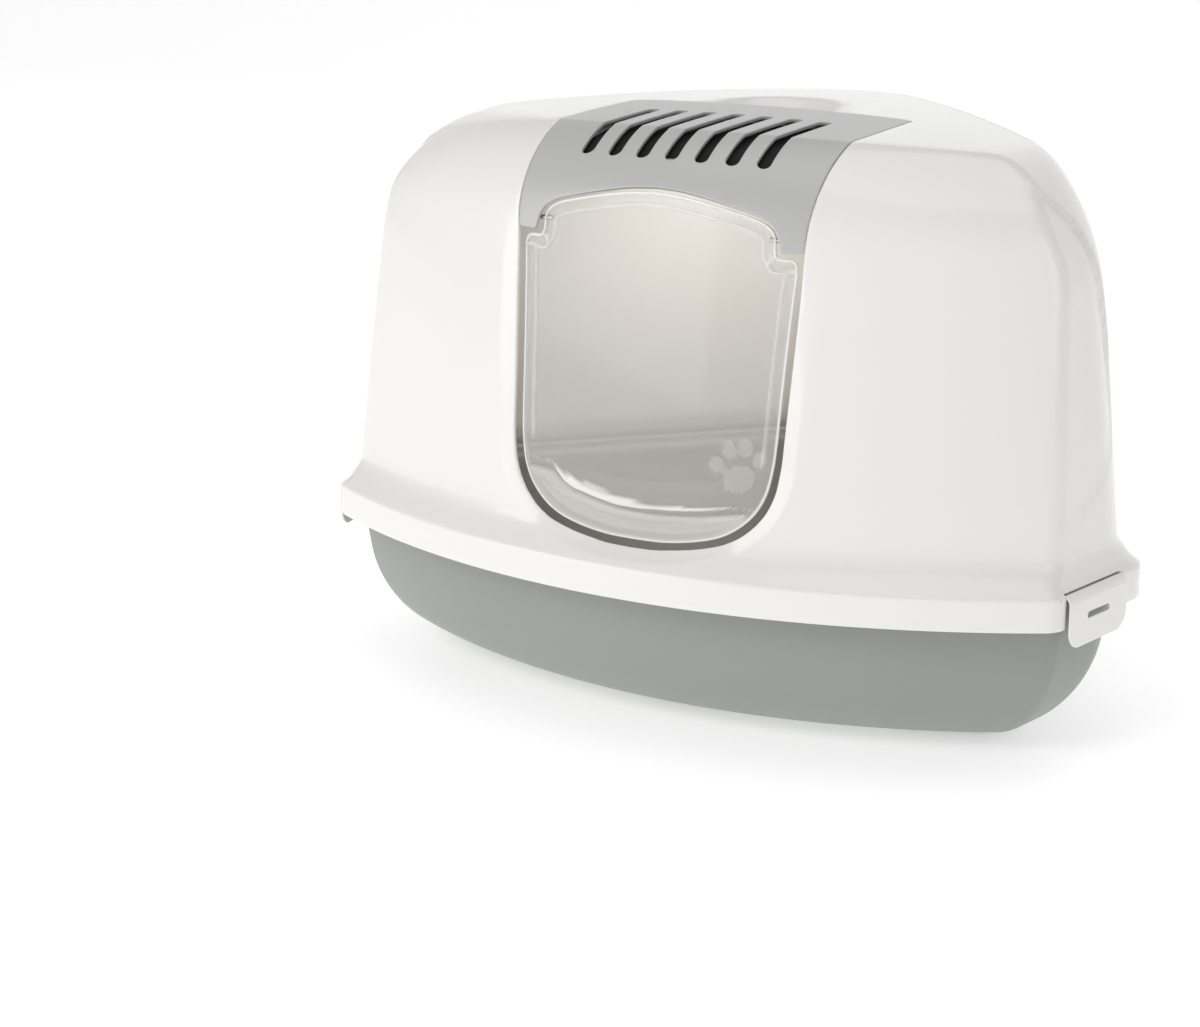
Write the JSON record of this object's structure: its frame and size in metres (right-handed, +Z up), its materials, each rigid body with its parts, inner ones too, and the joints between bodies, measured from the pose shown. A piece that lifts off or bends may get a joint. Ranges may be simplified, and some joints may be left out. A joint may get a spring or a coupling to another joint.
{
  "type": "hooded cat litter box",
  "caption": "Corner-shaped cat litter box: tapered tray, domed lift-off hood with side clips, hinged vent panel over the doorway and a clear swing door.",
  "frame": {"origin": "middle of the footprint's bounding box, on the floor", "axes": "+X to the right seen from the front, +Y from the doorway to the back corner, +Z up"},
  "size_m": [0.5852, 0.455, 0.3953],
  "materials": {
    "white_plastic": "gloss",
    "grey_plastic": "satin",
    "silver_plastic": "satin",
    "clear_plastic": "clear, smoked slightly warm",
    "carbon_foam": "open foam",
    "steel": "drawn wire",
    "rubber": "matt"
  },
  "bodies": {
    "base": {"tray": "grey_plastic", "foot_pad_1": "rubber", "foot_pad_2": "rubber", "foot_pad_3": "rubber", "foot_pad_4": "rubber", "foot_pad_5": "rubber", "foot_pad_6": "rubber"},
    "hood": {"hood_shell": "white_plastic", "panel_pin_left": "steel", "panel_pin_right": "steel", "clip_pin_left": "steel", "clip_pin_right": "steel"},
    "vent_lid": {"vent_panel": "silver_plastic", "filter_holder": "silver_plastic"},
    "filter": {"carbon_filter": "carbon_foam"},
    "door": {"door_flap": "clear_plastic", "door_pin_left": "steel", "door_pin_right": "steel"},
    "left_clip": {"clip_left": "white_plastic"},
    "right_clip": {"clip_right": "white_plastic"}
  },
  "joints": [
    {"name": "hood_lift", "type": "slide", "parent": "base", "child": "hood", "axis": [0, 0, 1], "range_m": [0, 0.15]},
    {"name": "panel_hinge", "type": "hinge", "parent": "hood", "child": "vent_lid", "pos_m": [0, -0.0185, 0.3903], "axis": [-1, 0, 0], "range_deg": [0, 95]},
    {"name": "filter_pull", "type": "slide", "parent": "vent_lid", "child": "filter", "axis": [0, 0, -1], "range_m": [0, 0.024]},
    {"name": "door_swing", "type": "hinge", "parent": "vent_lid", "child": "door", "pos_m": [0, -0.1722, 0.3348], "axis": [-1, 0, 0], "range_deg": [-80, 80]},
    {"name": "left_clip_hinge", "type": "hinge", "parent": "hood", "child": "left_clip", "pos_m": [-0.28106, -0.10761, 0.1195], "axis": [-0.1914, 0.9815, 0], "range_deg": [0, 80]},
    {"name": "right_clip_hinge", "type": "hinge", "parent": "hood", "child": "right_clip", "pos_m": [0.28106, -0.10761, 0.1195], "axis": [-0.1914, -0.9815, 0], "range_deg": [0, 80]}
  ]
}
